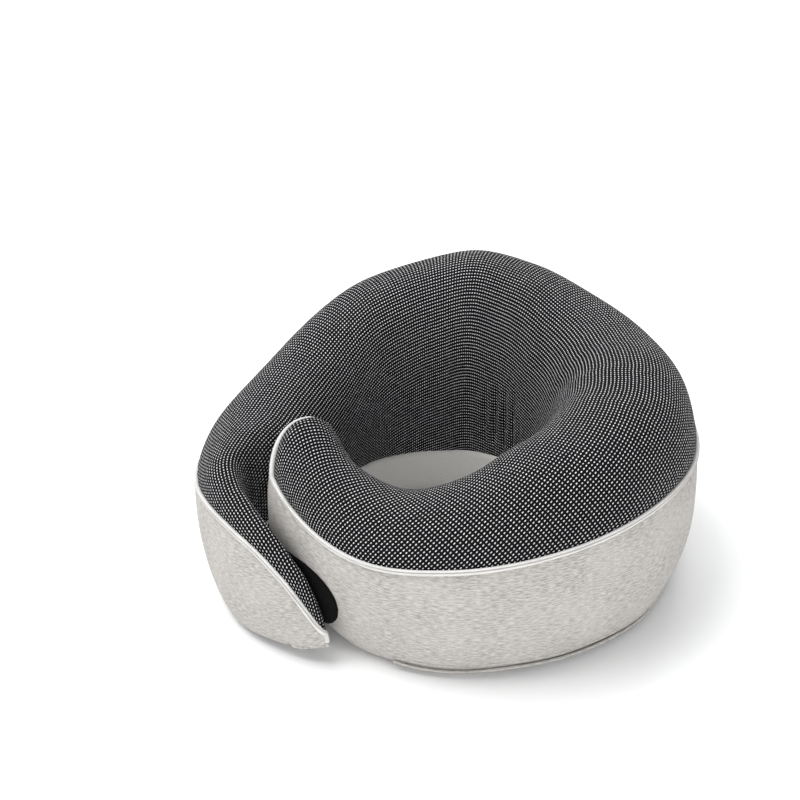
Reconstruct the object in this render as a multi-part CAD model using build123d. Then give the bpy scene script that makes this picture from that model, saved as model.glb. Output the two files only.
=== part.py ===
from build123d import *
import os
from math import asin, atan2, cos, degrees, hypot, pi, radians, sin, sqrt

# A foam neck pillow whose ring is closed by overlapping its two front arms.
# Millimetres, +Z up. Ring angles are measured from +X, counter-clockwise seen from
# above: 0 is the right shoulder, 90 the nape, 180 the left shoulder, -90 the front.
# The right arm ends inside the ring and the left arm passes outside it.

# ---- Ring in plan ---------------------------------------------------------------
side_outer = 144.0         # outer wall at the two shoulders
nape_outer = 129.0         # outer wall behind the neck
front_outer = 127.0        # outer wall under the chin
neck_radius = 60.0         # neck hole at the front and the left
right_inner = 56.0         # neck hole at the right, where the arm is thickest
nape_inner = 55.0          # neck hole behind the neck
right_end_outer = 112.0    # outer wall of the right arm's end
right_end_inner = 65.0     # inner wall of the right arm's end
arm_gap = 5.5              # room between the overlapped arms for the two patches

# ---- Heights --------------------------------------------------------------------
nape_height = 152.0
right_height = 129.0
front_height = 92.0
left_height = 90.0
right_end_height = 118.0

# ---- Ends of the two arms -------------------------------------------------------
right_end_angle = -158.0
left_end_angle = 240.0
right_cap_angle = -150.0   # where the cloth strips stop and the end panel begins
left_cap_angle = 234.0
right_end_round = 20.0     # length of the rounded end along the arm
left_end_round = 17.0

# ---- Cloth, piping and layers ---------------------------------------------------
knit_thick = 3.0           # spacer knit on the crown and the inner wall
jersey_thick = 2.0         # jersey on the outer wall
base_thick = 2.0           # flat cloth under the pillow
band_thick = 2.0           # jersey band low on the inner wall
layer_gap = 1.4            # clear room between the cover and the foam
hem_height = 36.0          # where the jersey band meets the knit on the inner wall
piping_radius = 1.7
piping_proud = 0.9         # how far the piping stands out of the cloth
seam_clear = 0.7           # cloth edge to piping, and cloth edge to cloth edge

# ---- Hook and loop patches ------------------------------------------------------
patch_thick = 1.2
patch_clear = 0.9
patch_bottom = 9.0
loop_top = 56.0
hook_top = 46.0
loop_angles = (-152.0, -118.0)
hook_angles = (211.0, 226.0)

# ---- Zip in the bottom edge, an arc about its own centre ------------------------
zip_front_angle = -106.0   # ring angle of the front stop
zip_back_angle = 20.0      # ring angle of the back stop, where the slider parks
zip_height = 7.0           # height of the zip's middle line
zip_depth = 8.6            # how far inside the widest wall its lips lie
lip_thick = 1.2
lip_width = 3.6
zip_slit = 1.8             # gap between the two lips
tape_thick = 0.7
coil_thick = 1.5
coil_width = 2.0
zip_play = 0.4             # clear room between neighbouring zip pieces
slider_length = 9.0
slider_width = 6.0
slider_plate = 1.3
slider_neck = 1.0
pull_length = 20.0
pull_width = 5.0
pull_thick = 1.2
pull_pin_radius = 0.9
pull_eye_wall = 1.1
pull_play = 0.15
stop_length = 2.5

# ---- Nape flex ------------------------------------------------------------------
flex_slit = 0.6            # slit between the two halves
flex_spread = 54.0         # half angle that the knuckle takes of its circle

nape_underrun = 50.0       # ring angle where the left half's lofts begin
nape_overrun = 115.0       # ring angle where the right half's lofts end
right_mark = -136.0        # first shared section behind each rounded end
left_mark = 226.0

STATION_STEP = 9.5        # ring angle between sections
# fullness of the outer crown at each ring angle
CREST_POWER = [(-158, 2.25), (-60, 2.3), (10, 2.8), (60, 2.5), (110, 2.25), (240, 2.2)]
NECK_POWER = 2.35          # fullness of the inner crown


def blend(knots, angle):
    """Smooth curve through (angle, value) knots, with averaged slopes at each knot."""
    xs = [k[0] for k in knots]
    ys = [k[1] for k in knots]
    angle = min(max(angle, xs[0]), xs[-1])
    spans = [b - a for a, b in zip(xs, xs[1:])]
    rises = [(b - a) / s for a, b, s in zip(ys, ys[1:], spans)]
    slopes = [rises[0]]
    for k in range(1, len(spans)):
        slopes.append((rises[k - 1] * spans[k] + rises[k] * spans[k - 1]) / (spans[k - 1] + spans[k]))
    slopes.append(rises[-1])
    k = max(i for i in range(len(spans)) if xs[i] <= angle)
    t = (angle - xs[k]) / spans[k]
    start = ys[k] * (1 + 2 * t) * (1 - t) ** 2 + spans[k] * slopes[k] * t * (1 - t) ** 2
    end = ys[k + 1] * t * t * (3 - 2 * t) + spans[k] * slopes[k + 1] * t * t * (t - 1)
    return start + end


wrap_inner = right_end_outer + arm_gap
cloth_foot = base_thick + seam_clear
OUTER = [(-158, right_end_outer), (-146, right_end_outer + 1), (-130, right_end_outer + 3),
         (-110, front_outer - 6), (-90, front_outer), (-60, front_outer + 7), (-30, side_outer - 3),
         (0, side_outer), (30, side_outer - 2), (60, nape_outer + 5), (90, nape_outer),
         (120, nape_outer + 2), (150, side_outer - 6), (170, side_outer - 1), (190, side_outer),
         (202, side_outer - 1), (215, side_outer - 3), (226, side_outer - 7), (234, side_outer - 11),
         (240, side_outer - 14)]
INNER = [(-158, right_end_inner), (-130, right_end_inner - 2), (-110, neck_radius), (-60, right_inner - 1),
         (-30, right_inner - 1), (0, right_inner), (30, right_inner + 2), (60, nape_inner + 2),
         (90, nape_inner), (120, nape_inner + 3), (150, neck_radius + 4), (170, neck_radius + 8),
         (180, neck_radius + 16), (190, wrap_inner - 21), (198, wrap_inner - 5), (206, wrap_inner),
         (215, wrap_inner + 0.5), (226, wrap_inner + 1), (240, wrap_inner + 1.5)]
TOP = [(-158, right_end_height), (-146, right_end_height - 1), (-130, front_height + 9),
       (-112, front_height), (-90, front_height + 4), (-60, front_height + 20), (-30, right_height - 6),
       (0, right_height), (28, right_height + 2), (60, nape_height - 5), (76, nape_height),
       (92, nape_height - 3), (110, nape_height - 10), (120, nape_height - 15), (150, left_height + 16),
       (170, left_height + 4), (190, left_height - 2), (202, left_height - 6), (215, left_height - 13),
       (226, left_height - 24), (234, left_height - 40), (240, left_height - 56)]
CREST = [(-158, 0.50), (-110, 0.47), (-60, 0.45), (-30, 0.45), (0, 0.46), (30, 0.50), (60, 0.51),
         (90, 0.48), (150, 0.50), (240, 0.52)]
WAIST = [(-158, 60), (-130, 52), (-90, 45), (0, 52), (60, 55), (120, 54), (150, 46), (202, 41),
         (215, 37), (226, 31), (234, 25), (240, 18)]
FOOT_INSET = [(-158, 13), (-130, 15), (-110, 15), (180, 15), (202, 10), (215, 6), (226, 4), (240, 2)]
NECK_INSET = [(-158, 9), (-110, 9), (180, 9), (202, 5), (215, 3), (240, 1.5)]
SEAM = [(-158, 88), (-146, 82), (-130, 73), (-110, 66), (-90, 69), (-60, 76), (-30, 82), (0, 81), (30, 86),
        (60, 92), (90, 94), (120, 88), (150, 69), (170, 59), (187, 61), (202, 66), (215, 65),
        (226, 56), (234, 40), (240, 18)]


def end_factor(distance, length):
    """Share of the full section left at a distance from a rounded end."""
    if distance >= length:
        return 1.0
    return sqrt(max(1 - (1 - distance / length) ** 2, 0.0))


def end_distance(angle, inset):
    """Distance along the arm to its nearer end, and that end's rounding length."""
    middle = (blend(OUTER, angle) + blend(INNER, angle)) / 2
    right = radians(angle - right_end_angle) * middle - inset
    left = radians(left_end_angle - angle) * middle - inset
    if right < left:
        return right, right_end_round
    return left, left_end_round


def wall_point(angle, t, inset=0.0):
    """Radius and height on the section at a ring angle.

    t runs 0 to 1 up the outer wall to its widest point, 1 to 2 over the outer crown,
    2 to 3 down the inner crown and 3 to 4 down the inner wall to its foot. A positive
    inset moves the point into the foam.
    """
    inner = blend(INNER, angle) + inset
    outer = blend(OUTER, angle) - inset
    top = blend(TOP, angle) - inset
    foot = cloth_foot + inset
    waist = blend(WAIST, angle)
    crest = inner + blend(CREST, angle) * (outer - inner)
    neck_waist = foot + 0.45 * (top - foot)
    outer_inset = blend(FOOT_INSET, angle)
    a = (t - int(min(t, 3.999))) * pi / 2
    if t < 1:
        r, z = outer - outer_inset * (1 - sin(a)), waist - (waist - foot) * cos(a)
    elif t < 2:
        power = 2 / blend(CREST_POWER, angle)
        r, z = crest + (outer - crest) * cos(a) ** power, waist + (top - waist) * sin(a) ** power
    elif t < 3:
        power = 2 / NECK_POWER
        r, z = crest - (crest - inner) * sin(a) ** power, neck_waist + (top - neck_waist) * cos(a) ** power
    else:
        r, z = inner + blend(NECK_INSET, angle) * (1 - cos(a)), neck_waist - (neck_waist - foot) * sin(a)
    factor = end_factor(*end_distance(angle, inset))
    middle_r, middle_z = (inner + outer) / 2, foot + 0.42 * (top - foot)
    return middle_r + (r - middle_r) * factor, middle_z + (z - middle_z) * factor


def place(angle, r, z):
    """Point in space at a ring angle, radius and height."""
    return Vector(r * cos(radians(angle)), r * sin(radians(angle)), z)


def height_to_t(angle, height):
    """Section parameter on the outer side at a height above the table."""
    low, high = 0.0, 2.0
    for _ in range(40):
        middle = (low + high) / 2
        if wall_point(angle, middle)[1] < height:
            low = middle
        else:
            high = middle
    return low


def seam_t(angle):
    """Section parameter of the piped seam along the outer wall."""
    return height_to_t(angle, blend(SEAM, angle))


def hem_t(angle):
    """Section parameter of the hem low on the inner wall."""
    neck_waist = cloth_foot + 0.45 * (blend(TOP, angle) - cloth_foot)
    return 3 + asin(min(max((neck_waist - hem_height) / (neck_waist - cloth_foot), 0.05), 0.9)) * 2 / pi


def shift_t(angle, t, distance):
    """Section parameter a distance further along the wall, backwards when negative."""
    step = 0.002 if distance > 0 else -0.002
    left = abs(distance)
    here = wall_point(angle, t)
    while left > 0 and 0 < t + step < 4:
        t += step
        there = wall_point(angle, t)
        left -= hypot(there[0] - here[0], there[1] - here[1])
        here = there
    return t


def even_angles(first, last):
    """Ring angles from first to last in even steps of about STATION_STEP."""
    count = max(1, round(abs(last - first) / STATION_STEP))
    return [first + (last - first) * k / count for k in range(count + 1)]


def dome_angles(pole, toward, length, inset, openness):
    """Ring angles round a rounded end, at even steps of the dome's own angle.

    openness is the first angle of the dome, in degrees from its pole, and toward is 1
    where the arm lies at larger ring angles than its pole and -1 where it lies at smaller.
    """
    arm = (blend(OUTER, pole) + blend(INNER, pole)) / 2
    steps = [openness + (90 - openness) * k / 4 for k in range(5)]
    return [pole + toward * degrees((length * (1 - cos(radians(s))) + inset) / arm) for s in steps]


def stations(half, inset, openness):
    """Ring angles of a half's sections: round its end, then in even steps past the nape."""
    if half == "right":
        dome = dome_angles(right_end_angle, 1, right_end_round, inset, openness)
        return dome + even_angles(right_mark, nape_overrun)
    dome = dome_angles(left_end_angle, -1, left_end_round, inset, openness)
    return dome + even_angles(left_mark, nape_underrun)


def curve(points):
    """Spline with evenly numbered parameters, so that neighbouring sections match."""
    count = len(points) - 1
    return Edge.make_spline(points, parameters=[k / count for k in range(count + 1)])


def wall_curve(angle, t_from, t_to, inset, count=10):
    """Curve on the section wall from one parameter to another."""
    ts = [t_from + (t_to - t_from) * k / count for k in range(count + 1)]
    return curve([place(angle, *wall_point(angle, t, inset)) for t in ts])


def closed_face(edges):
    """Flat face inside a chain of edges, joined by straight lines where they part."""
    chain = []
    for edge, following in zip(edges, edges[1:] + edges[:1]):
        chain.append(edge)
        if (following @ 0 - edge @ 1).length > 0.001:
            chain.append(Line(edge @ 1, following @ 0))
    return make_face(Wire(chain))


def band(angles, t_from, t_to, inset_out, inset_in, count=10):
    """Strip of cloth lofted round the ring between two section parameters."""
    faces = []
    for angle in angles:
        start, end = t_from(angle), t_to(angle)
        faces.append(closed_face([wall_curve(angle, start, end, inset_out, count),
                                  wall_curve(angle, end, start, inset_in, count)]))
    return loft(faces)


def core(angles, inset):
    """Body of the foam over a run of ring angles, drawn in by an inset."""
    faces = []
    for angle in angles:
        outer_foot, neck_foot = (place(angle, *wall_point(angle, t, inset)) for t in (0, 4))
        faces.append(closed_face([wall_curve(angle, 0, 2, inset, 12), wall_curve(angle, 2, 4, inset, 12),
                                  Line(neck_foot, (neck_foot + outer_foot) / 2)]))
    return loft(faces)


def right_end_panel(rim):
    """Hollow cup of jersey over the right arm's end, down to a ring angle."""
    outside = [a for a in dome_angles(right_end_angle, 1, right_end_round, 0, 12) if a < rim - 1]
    inside = [a for a in dome_angles(right_end_angle, 1, right_end_round, jersey_thick, 14) if a < rim - 1]
    return core(outside + [rim], 0) - core(inside + [rim + 0.5], jersey_thick)


def left_end_panel(rim):
    """Folded point of jersey at the tip of the left arm, too slim to hold foam."""
    outside = [a for a in dome_angles(left_end_angle, -1, left_end_round, 0, 12) if a > rim + 1]
    return core(outside + [rim], 0)


def base_sheet(angles):
    """Flat cloth under the pillow, between its two bottom edges."""
    outer = [place(a, wall_point(a, 0)[0], 0) for a in sorted(angles)]
    inner = [place(a, wall_point(a, 4)[0], 0) for a in sorted(angles, reverse=True)]
    return extrude(closed_face([Spline(*outer), Spline(*inner)]), base_thick, dir=(0, 0, 1))


def bead(points, radius):
    """Round cord lofted along a row of points."""
    sections = []
    for k, point in enumerate(points):
        before, after = points[max(k - 1, 0)], points[min(k + 1, len(points) - 1)]
        plane = Plane(origin=point, z_dir=after - before)
        sections.append(plane * Circle(radius))
    return loft(sections)


def patch(angles, bottom, top, t_of, inset_out, inset_in):
    """Thin patch on a wall, with a round tongue at its last angle."""
    first, last = angles
    faces = []
    for k in range(9):
        share = k / 8
        angle = first + (last - first) * share
        tongue = sqrt(max(1 - (max(share - 0.6, 0) / 0.42) ** 2, 0.02))
        middle, half = (bottom + top) / 2, (top - bottom) / 2 * tongue
        low, high = t_of(angle, middle - half), t_of(angle, middle + half)
        faces.append(closed_face([wall_curve(angle, low, high, inset_out, 8),
                                  wall_curve(angle, high, low, inset_in, 8)]))
    return loft(faces)


def height_to_neck_t(angle, height):
    """Section parameter on the inner side at a height above the table."""
    low, high = 2.0, 4.0
    for _ in range(40):
        middle = (low + high) / 2
        if wall_point(angle, middle)[1] > height:
            low = middle
        else:
            high = middle
    return low


def circle_centre(a, b, c):
    """Centre of the circle through three points in plan."""
    bx, by, cx, cy = b.X - a.X, b.Y - a.Y, c.X - a.X, c.Y - a.Y
    d = 2 * (bx * cy - by * cx)
    ux = (cy * (bx * bx + by * by) - by * (cx * cx + cy * cy)) / d
    uy = (bx * (cx * cx + cy * cy) - cx * (bx * bx + by * by)) / d
    return Vector(a.X + ux, a.Y + uy, 0)


# ---- Zip arc --------------------------------------------------------------------
wall_marks = [place(a, blend(OUTER, a), 0) for a in (-90, -30, 0)]
zip_centre = circle_centre(*wall_marks)
wall_radius = (wall_marks[0] - zip_centre).length
lip_outer = wall_radius - zip_depth
tape_outer = lip_outer - lip_thick - zip_play
coil_outer = tape_outer - tape_thick - zip_play
slider_inner = coil_outer - coil_thick - zip_play
channel_radius = slider_inner - slider_plate - 2 * zip_play
slider_outer = lip_outer + zip_play + slider_plate
channel_low = zip_height - zip_slit / 2 - lip_width - zip_play
channel_high = zip_height + zip_slit / 2 + lip_width + zip_play
pin_reach = slider_outer + pull_pin_radius + pull_eye_wall + pull_play + 0.3


def zip_bearing(angle):
    """Bearing about the zip's own centre of the outer wall at a ring angle."""
    spot = place(angle, blend(OUTER, angle), 0) - zip_centre
    return degrees(atan2(spot.Y, spot.X))


zip_front = zip_bearing(zip_front_angle)
zip_back = zip_bearing(zip_back_angle)


def arc_deg(length):
    """Turn about the zip's centre for a length along the zip."""
    return degrees(length / lip_outer)


def arc_strip(inner, outer, low, high, start, end):
    """Ring segment about the zip's centre with a rectangular section."""
    turn = Pos(zip_centre.X, zip_centre.Y, 0) * Rot(0, 0, start)
    corners = [(inner, 0, low), (outer, 0, low), (outer, 0, high), (inner, 0, high)]
    face = turn * make_face(Polyline(*corners, close=True))
    return revolve(face, axis=Axis((zip_centre.X, zip_centre.Y, 0), (0, 0, 1)), revolution_arc=end - start)


def zip_pair(outer, thick, near, width, start, end):
    """Upper and lower strips of one zip layer, near to the middle line and mirrored."""
    upper = arc_strip(outer - thick, outer, zip_height + near, zip_height + near + width, start, end)
    lower = arc_strip(outer - thick, outer, zip_height - near - width, zip_height - near, start, end)
    return upper, lower


# ---- Nape knuckle ---------------------------------------------------------------
nape_axis_y = (nape_outer + nape_inner) / 2
knuckle_radius = (nape_outer - nape_inner) / 2 / sin(radians(flex_spread))


def knuckle_slit():
    """Thin curved slit about the nape axis that parts the two halves."""
    tall = 3 * nape_height
    ring = Cylinder(knuckle_radius + flex_slit / 2, tall) - Cylinder(knuckle_radius - flex_slit / 2, tall)
    right_side = Pos(2 * knuckle_radius, 0, 0) * Box(4 * knuckle_radius, 4 * knuckle_radius, tall)
    return Pos(0, nape_axis_y, 0) * (ring & right_side)


def outer_part(piece, side):
    """The part of a piece that lies beyond the nape slit, on the right (1) or left (-1)."""
    parts = (piece - slit).solids()
    return max(parts, key=lambda part: side * part.center().X * part.volume)


slit = knuckle_slit()
foam_channel = arc_strip(channel_radius, wall_radius + 30, channel_low, channel_high,
                         zip_front - arc_deg(1), zip_back + arc_deg(1))
jersey_channel = arc_strip(channel_radius, wall_radius + 30, base_thick + 0.1, channel_high,
                           zip_front - arc_deg(1), zip_back + arc_deg(1))
nodes = {}

# ---- Cover, liner and foam of each half -----------------------------------------
edge_clear = piping_radius + seam_clear
foam_depth = knit_thick + layer_gap


def seam_edge(distance):
    """Cloth edge that keeps a square distance from the piped seam, up or down the wall."""
    def edge(angle):
        rise = blend(SEAM, angle + 1) - blend(SEAM, angle - 1)
        slope = rise / (radians(2) * blend(OUTER, angle))
        return shift_t(angle, seam_t(angle), distance * sqrt(1 + slope * slope))
    return edge


for half, side in (("right", 1), ("left", -1)):
    # a piping ring runs round the right cap's edge, and the left cap meets the cloth edge to edge
    cap, cap_clear = (right_cap_angle, edge_clear) if half == "right" else (left_cap_angle, seam_clear / 2)
    foam_openness = 40 if half == "right" else 80
    clear_turn = side * degrees(cap_clear / ((blend(OUTER, cap) + blend(INNER, cap)) / 2))
    rim, cap_rim = cap + clear_turn, cap - clear_turn
    cloth = [rim] + [a for a in stations(half, 0, 40) if side * (a - rim) > 1.5]
    knit = band(cloth, seam_edge(edge_clear), hem_t, 0, knit_thick)
    jersey = band(cloth, lambda a: 0.0, seam_edge(-edge_clear), 0, jersey_thick)
    foot_band = band(cloth, lambda a: shift_t(a, hem_t(a), seam_clear), lambda a: 4.0, 0, band_thick, 6)
    foam = core(stations(half, foam_depth, foam_openness), foam_depth)
    seam_line = [place(a, *wall_point(a, seam_t(a), piping_radius - piping_proud)) for a in cloth]
    if half == "right":
        jersey -= jersey_channel
        foam -= foam_channel
    nodes["jersey_panel_" + half] = outer_part(jersey, side)
    nodes["knit_panel_" + half] = outer_part(knit, side)
    nodes["foot_band_" + half] = outer_part(foot_band, side)
    nodes["base_panel_" + half] = outer_part(base_sheet(cloth), side)
    nodes["foam_core_" + half] = outer_part(foam, side)
    nodes["piping_" + half] = outer_part(bead(seam_line, piping_radius), side)
    nodes["end_panel_" + half] = right_end_panel(cap_rim) if half == "right" else left_end_panel(cap_rim)

ring_t = [seam_t(right_cap_angle) + 0.06 + (3.9 - seam_t(right_cap_angle)) * k / 12 for k in range(13)]
nodes["piping_end"] = bead([place(right_cap_angle, *wall_point(right_cap_angle, t, piping_radius - piping_proud))
                            for t in ring_t], piping_radius)

# ---- Patches that hold the overlapped arms --------------------------------------
nodes["loop_patch"] = patch(loop_angles, patch_bottom, loop_top, height_to_t,
                            -patch_clear - patch_thick, -patch_clear)
nodes["hook_patch"] = patch(hook_angles, patch_bottom, hook_top, height_to_neck_t,
                            -patch_clear - patch_thick, -patch_clear)

# ---- Zip ------------------------------------------------------------------------
near = zip_slit / 2
lips = zip_pair(lip_outer, lip_thick, near, lip_width, zip_front, zip_back)
tapes = zip_pair(tape_outer, tape_thick, near, lip_width, zip_front, zip_back)
coils = zip_pair(coil_outer, coil_thick, near, coil_width, zip_front, zip_back)
for row, part in (("lip", lips), ("tape", tapes), ("coil", coils)):
    nodes["zip_" + row + "_upper"], nodes["zip_" + row + "_lower"] = part
stop = arc_deg(stop_length)
for name, start in (("front", zip_front), ("back", zip_back - stop)):
    nodes["zip_stop_" + name] = arc_strip(slider_inner - slider_plate, slider_inner, zip_height - coil_width,
                                          zip_height + coil_width, start, start + stop)
slider_back = zip_back - stop - arc_deg(zip_play)
slider_front = slider_back - arc_deg(slider_length)
slider_middle = (slider_back + slider_front) / 2
half_width = slider_width / 2
slider = arc_strip(slider_inner - slider_plate, slider_inner, zip_height - half_width,
                   zip_height + half_width, slider_front, slider_back)
slider += arc_strip(slider_inner - 0.1, slider_outer - slider_plate + 0.1, zip_height - slider_neck / 2,
                    zip_height + slider_neck / 2, slider_front, slider_back)
slider += arc_strip(slider_outer - slider_plate, slider_outer, zip_height - half_width,
                    zip_height + half_width, slider_front, slider_back)
pin_spot = Pos(zip_centre.X, zip_centre.Y, zip_height) * Rot(0, 0, slider_middle) * Pos(pin_reach, 0, 0)
lug_height = 1.0
eye_height = slider_width - 2 * lug_height - 2 * pull_play
eye_radius = pull_pin_radius + pull_play + pull_eye_wall
for way in (1, -1):
    lug_level = way * (half_width - lug_height / 2)
    lug_depth = pin_reach - slider_outer + pull_pin_radius + 0.6
    slider += pin_spot * Pos(pull_pin_radius + 0.6 - lug_depth / 2 - 0.1, 0, lug_level) * Box(
        lug_depth + 0.2, 2 * pull_pin_radius + 1.2, lug_height)
slider += pin_spot * Cylinder(pull_pin_radius, slider_width)
nodes["zip_slider"] = slider
pull = pin_spot * (Cylinder(eye_radius, eye_height)
                   + Pos(0, -pull_length / 2, 0) * Box(pull_thick, pull_length, eye_height)
                   + Pos(0, -pull_length * 0.62, 0) * Box(pull_thick, pull_length * 0.76, pull_width)
                   - Cylinder(pull_pin_radius + pull_play, slider_width))
nodes["zip_pull"] = pull

# ---- One frame, with its origin under the middle of the whole -------------------
whole = Compound([solid for n in nodes.values() for solid in n.solids()]).bounding_box()
shift = Vector(-(whole.min.X + whole.max.X) / 2, -(whole.min.Y + whole.max.Y) / 2, 0)
os.makedirs("parts", exist_ok=True)
for name, piece in nodes.items():
    export_step(Pos(shift.X, shift.Y, 0) * piece, "parts/" + name + ".step")
pin_world = pin_spot.position
print("size", whole.max.X - whole.min.X, whole.max.Y - whole.min.Y, whole.max.Z, "foot", whole.min.Z)
print("zip centre", zip_centre.X + shift.X, zip_centre.Y + shift.Y)
print("nape axis", shift.X, nape_axis_y + shift.Y)
print("pull pin", pin_world.X + shift.X, pin_world.Y + shift.Y)
print("slider travel", slider_front - zip_front - stop - arc_deg(zip_play))
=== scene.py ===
from math import cos, pi, radians, sin

import bmesh
import bpy
import numpy as np
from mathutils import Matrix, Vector


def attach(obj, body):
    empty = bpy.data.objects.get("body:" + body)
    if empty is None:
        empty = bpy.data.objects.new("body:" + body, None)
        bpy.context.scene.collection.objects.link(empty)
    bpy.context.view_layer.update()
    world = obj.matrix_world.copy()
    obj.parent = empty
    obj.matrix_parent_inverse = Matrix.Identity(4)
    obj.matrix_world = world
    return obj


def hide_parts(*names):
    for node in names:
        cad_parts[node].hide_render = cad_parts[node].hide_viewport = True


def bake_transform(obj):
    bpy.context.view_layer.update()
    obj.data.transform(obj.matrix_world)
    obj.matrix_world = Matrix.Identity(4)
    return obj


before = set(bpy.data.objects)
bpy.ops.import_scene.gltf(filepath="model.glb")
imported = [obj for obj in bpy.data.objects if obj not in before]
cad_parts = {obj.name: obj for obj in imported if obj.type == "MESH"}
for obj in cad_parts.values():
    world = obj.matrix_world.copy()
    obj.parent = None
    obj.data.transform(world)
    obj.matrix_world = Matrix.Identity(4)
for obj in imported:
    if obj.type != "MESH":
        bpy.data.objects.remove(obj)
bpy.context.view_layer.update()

# A foam neck pillow whose ring is closed by overlapping its two front arms.
# Ring angles are in degrees from +X, counter-clockwise seen from above: 90 is the nape and
# -90 the front. The right arm ends inside the ring and the left arm passes outside it.
# Sizes are written in millimetres and become metres in place().

MM = 0.001
SHIFT = (-0.000017, -0.000589)     # moves the ring's own centre to the frame's origin

# ---- Shape of the ring ------------------------------------------------------------
OUTER = [(-158, 112), (-146, 113), (-130, 115), (-110, 121), (-90, 127), (-60, 134), (-30, 141),
         (0, 144), (30, 142), (60, 134), (90, 129), (120, 131), (150, 138), (170, 143), (190, 144),
         (202, 143), (215, 141), (226, 137), (234, 133), (240, 130)]
INNER = [(-158, 65), (-130, 63), (-110, 60), (-60, 55), (-30, 55), (0, 56), (30, 58), (60, 57),
         (90, 55), (120, 58), (150, 64), (170, 68), (180, 76), (190, 96.5), (198, 112.5),
         (206, 117.5), (215, 118), (226, 118.5), (240, 119)]
TOP = [(-158, 118), (-146, 117), (-130, 101), (-112, 92), (-90, 96), (-60, 112), (-30, 123),
       (0, 129), (28, 131), (60, 147), (76, 152), (92, 149), (110, 142), (120, 137), (150, 106),
       (170, 94), (190, 88), (202, 84), (215, 77), (226, 66), (234, 50), (240, 34)]
CREST = [(-158, 0.50), (-110, 0.47), (-60, 0.45), (-30, 0.45), (0, 0.46), (30, 0.50), (60, 0.51),
         (90, 0.48), (150, 0.50), (190, 0.46), (205, 0.38), (226, 0.40), (240, 0.5)]
WAIST = [(-158, 60), (-130, 52), (-90, 45), (0, 52), (60, 55), (120, 54), (150, 46), (202, 41),
         (215, 37), (226, 31), (234, 25), (240, 18)]
FOOT_INSET = [(-158, 13), (-130, 15), (-110, 15), (180, 15), (202, 10), (215, 6), (226, 4), (240, 2)]
NECK_INSET = [(-158, 9), (-110, 9), (180, 9), (202, 5), (215, 3), (240, 1.5)]
SEAM = [(-158, 97), (-150, 91), (-146, 87), (-138, 79), (-130, 73), (-110, 66), (-90, 69), (-60, 76), (-30, 82), (0, 81),
        (30, 86), (60, 92), (90, 94), (120, 88), (150, 69), (170, 59), (187, 61), (202, 66), (215, 65),
        (226, 56), (234, 40), (240, 18)]
# level between the tips: the knots in pairs keep the curve from bowing over the long span
UNDER_LIFT = [(-158, 14), (-146, 11), (-130, 5), (-112, 0), (-111, 0), (194, 0), (195, 0), (215, 2),
              (226, 5), (234, 7), (240, 8)]
RIGHT_TIP, LEFT_TIP = -158.0, 240.0
FIRST_LINE = -154.0             # ring angle of the first grid line, before it leans to the tip
RIGHT_ROUND, LEFT_ROUND = 20.0, 17.0
CREST_POWER = [(-158, 2.25), (-60, 2.3), (10, 2.8), (60, 2.5), (110, 2.25), (240, 2.2)]
NECK_POWER = 2.35
# height of the point that the section shrinks to, as a share of its height
POLE = [(-158, 0.42), (205, 0.42), (232, 0.2), (240, 0.16)]
FOOT = 0.6                      # height of the cover's lowest cloth
KNIT_THICK, JERSEY_THICK, BAND_THICK, BASE_THICK = 2.4, 1.6, 1.4, 1.2
HEM_HEIGHT = 36.0               # where the plain band meets the knit in the neck hole

# ---- Layout of the panels ---------------------------------------------------------
COLUMNS = 360                   # grid lines round the ring
TIP_COLUMNS, TIP_REACH = 30, 14.0   # lines that crowd together over the left tip's last degrees
KNIT_ROWS, SIDE_ROWS, LOW_ROWS, BAND_ROWS, BASE_ROWS, CAP_ROWS = 84, 40, 4, 18, 24, 26
SPLIT_ANGLE = 49.0              # right of the nape, where the pieces that go with the right half begin
TIP_SEAM = [(0, -146.8), (0.05, -148.3), (0.12, -149.5), (0.25, -150.3), (0.364, -150), (0.71, -149.5), (1, -150)]
# turn of the knit's rows against the ring, in degrees at each ring angle
ROW_TURN = [(-158, -84), (-145, -76), (-120, -58), (-90, -40), (-45, -18), (0, -5),
            (45, 0), (90, 0), (150, 2), (240, 8)]
TIP_FADE = 54.0                 # degrees over which the grid lines straighten behind the tip

# ---- Zip, an arc about its own centre ---------------------------------------------
ZIP_CENTRE = (0.014648, 0.000922)
ZIP_RADIUS = 0.1216
ZIP_ANGLES = (-103.0, 21.0)
ZIP_HEIGHT, ZIP_GAP = 7.0, 0.9
LIP_RADIUS, LIP_RISE = 1.0, 0.9   # rolled lips, and how far each one moves off its cut edge


def soft_curve(knots, at):
    """Cubic through (place, value) knots. Each knot's slope is the mean of its two spans' slopes,
    weighted by the other span's length, and places outside the knots take the end's value."""
    xs, ys = np.array(knots, float).T
    at = np.clip(at, xs[0], xs[-1])
    spans = np.diff(xs)
    rises = np.diff(ys) / spans
    inside = (rises[:-1] * spans[1:] + rises[1:] * spans[:-1]) / (spans[:-1] + spans[1:])
    slopes = np.concatenate([rises[:1], inside, rises[-1:]])
    k = np.clip(np.searchsorted(xs, at, side="right") - 1, 0, len(spans) - 1)
    t = (at - xs[k]) / spans[k]
    start = ys[k] * (1 + 2 * t) * (1 - t) ** 2 + spans[k] * slopes[k] * t * (1 - t) ** 2
    end = ys[k + 1] * t * t * (3 - 2 * t) + spans[k] * slopes[k + 1] * t * t * (t - 1)
    return start + end


def smoothstep(low, high, x):
    """Rises from 0 at low to 1 at high as 3s^2 - 2s^3, where s is the share of the way."""
    s = np.clip((x - low) / (high - low), 0, 1)
    return s * s * (3 - 2 * s)


def dome(distance, length):
    """Quarter circle: 0 at the tip, 1 from one rounding length inwards."""
    share = np.clip(1 - distance / length, 0, 1)
    return np.sqrt(1 - share * share)


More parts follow.
